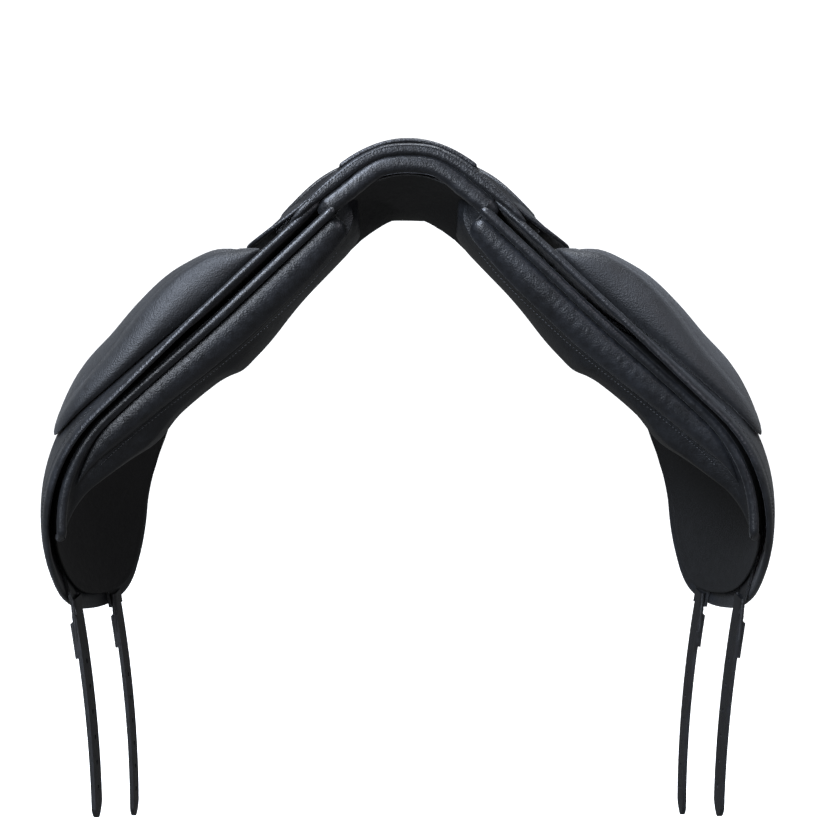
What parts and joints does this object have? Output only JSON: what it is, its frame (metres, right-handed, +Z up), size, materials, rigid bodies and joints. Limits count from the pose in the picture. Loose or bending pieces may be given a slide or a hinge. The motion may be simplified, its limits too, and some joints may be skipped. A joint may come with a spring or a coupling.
{
  "type": "english riding saddle",
  "caption": "Black leather English saddle with outside knee blocks, liftable flaps and skirts, stirrup bars, stuffed panels and long swinging girth billets.",
  "frame": {"origin": "in the channel between the panels, midway along the seat, where a saddle rack's rail carries it", "axes": "+X to the near (left) side, +Y to the rear, +Z up"},
  "size_m": [0.6926, 0.4788, 0.7293],
  "materials": {
    "black_leather": "smooth grain, satin",
    "soft_leather": "soft grain, wrinkled",
    "panel_leather": "smooth, over flock",
    "block_leather": "matt grain",
    "billet_leather": "bridle leather, stitched edges",
    "steel": "forged and polished",
    "nickel": "nickel plate",
    "webbing": "woven flax",
    "foam": "moulded foam",
    "beech_ply": "varnished laminate"
  },
  "bodies": {
    "root": {"bar_rivets_near": "steel", "bar_rivets_off": "steel", "billet_web_front_near": "billet_leather", "billet_web_front_off": "billet_leather", "billet_web_rear_near": "billet_leather", "billet_web_rear_off": "billet_leather", "cantle_binding": "black_leather", "catch_pin_near": "steel", "catch_pin_off": "steel", "channel_lining": "soft_leather", "flap_upper_near": "black_leather", "flap_upper_off": "black_leather", "gullet_roll": "soft_leather", "head_plate": "steel", "panel_gusset_near": "soft_leather", "panel_gusset_off": "soft_leather", "panel_near": "panel_leather", "panel_off": "panel_leather", "panel_piping_near": "soft_leather", "panel_piping_off": "soft_leather", "pommel_binding": "black_leather", "rear_panel_near": "panel_leather", "rear_panel_off": "panel_leather", "saddle_studs": "nickel", "seat_cover": "black_leather", "seat_foam": "foam", "seat_welts": "black_leather", "stirrup_bar_near": "steel", "stirrup_bar_off": "steel", "straining_webs": "webbing", "tree": "beech_ply", "tree_springs": "steel", "under_flap_near": "black_leather", "under_flap_off": "black_leather"},
    "flap_near": {"flap_lower_near": "black_leather", "knee_block_near": "block_leather"},
    "skirt_near": {"skirt_near": "black_leather"},
    "catch_near": {"thumb_catch_near": "steel"},
    "billet_front_near": {"billet_front_near": "billet_leather", "billet_keeper_front_near": "billet_leather"},
    "billet_rear_near": {"billet_rear_near": "billet_leather", "billet_keeper_rear_near": "billet_leather"},
    "flap_off": {"flap_lower_off": "black_leather", "knee_block_off": "block_leather"},
    "skirt_off": {"skirt_off": "black_leather"},
    "catch_off": {"thumb_catch_off": "steel"},
    "billet_front_off": {"billet_front_off": "billet_leather", "billet_keeper_front_off": "billet_leather"},
    "billet_rear_off": {"billet_rear_off": "billet_leather", "billet_keeper_rear_off": "billet_leather"}
  },
  "joints": [
    {"name": "flap_lift_near", "type": "hinge", "parent": "root", "child": "flap_near", "pos_m": [0.14463, -0.14, -0.02664], "axis": [0, -1, 0], "range_deg": [0, 50]},
    {"name": "skirt_lift_near", "type": "hinge", "parent": "root", "child": "skirt_near", "pos_m": [0.06877, -0.215, 0.03864], "axis": [-0.2043, -0.9602, 0.1905], "range_deg": [0, 35]},
    {"name": "catch_turn_near", "type": "hinge", "parent": "root", "child": "catch_near", "pos_m": [0.11548, -0.089, -0.01244], "axis": [0.682, 0, 0.7314], "range_deg": [0, 80]},
    {"name": "billet_swing_front_near", "type": "hinge", "parent": "root", "child": "billet_front_near", "pos_m": [0.31356, -0.14, -0.37083], "axis": [0, -1, 0], "range_deg": [-45, 35]},
    {"name": "billet_swing_rear_near", "type": "hinge", "parent": "root", "child": "billet_rear_near", "pos_m": [0.30577, -0.02, -0.39607], "axis": [0, -1, 0], "range_deg": [-45, 35]},
    {"name": "flap_lift_off", "type": "hinge", "parent": "root", "child": "flap_off", "pos_m": [-0.14463, -0.14, -0.02664], "axis": [0, 1, 0], "range_deg": [0, 50]},
    {"name": "skirt_lift_off", "type": "hinge", "parent": "root", "child": "skirt_off", "pos_m": [-0.06877, -0.215, 0.03864], "axis": [-0.2043, 0.9602, -0.1905], "range_deg": [0, 35]},
    {"name": "catch_turn_off", "type": "hinge", "parent": "root", "child": "catch_off", "pos_m": [-0.11548, -0.089, -0.01244], "axis": [0.682, 0, -0.7314], "range_deg": [0, 80]},
    {"name": "billet_swing_front_off", "type": "hinge", "parent": "root", "child": "billet_front_off", "pos_m": [-0.31356, -0.14, -0.37083], "axis": [0, 1, 0], "range_deg": [-45, 35]},
    {"name": "billet_swing_rear_off", "type": "hinge", "parent": "root", "child": "billet_rear_off", "pos_m": [-0.30577, -0.02, -0.39607], "axis": [0, 1, 0], "range_deg": [-45, 35]}
  ]
}
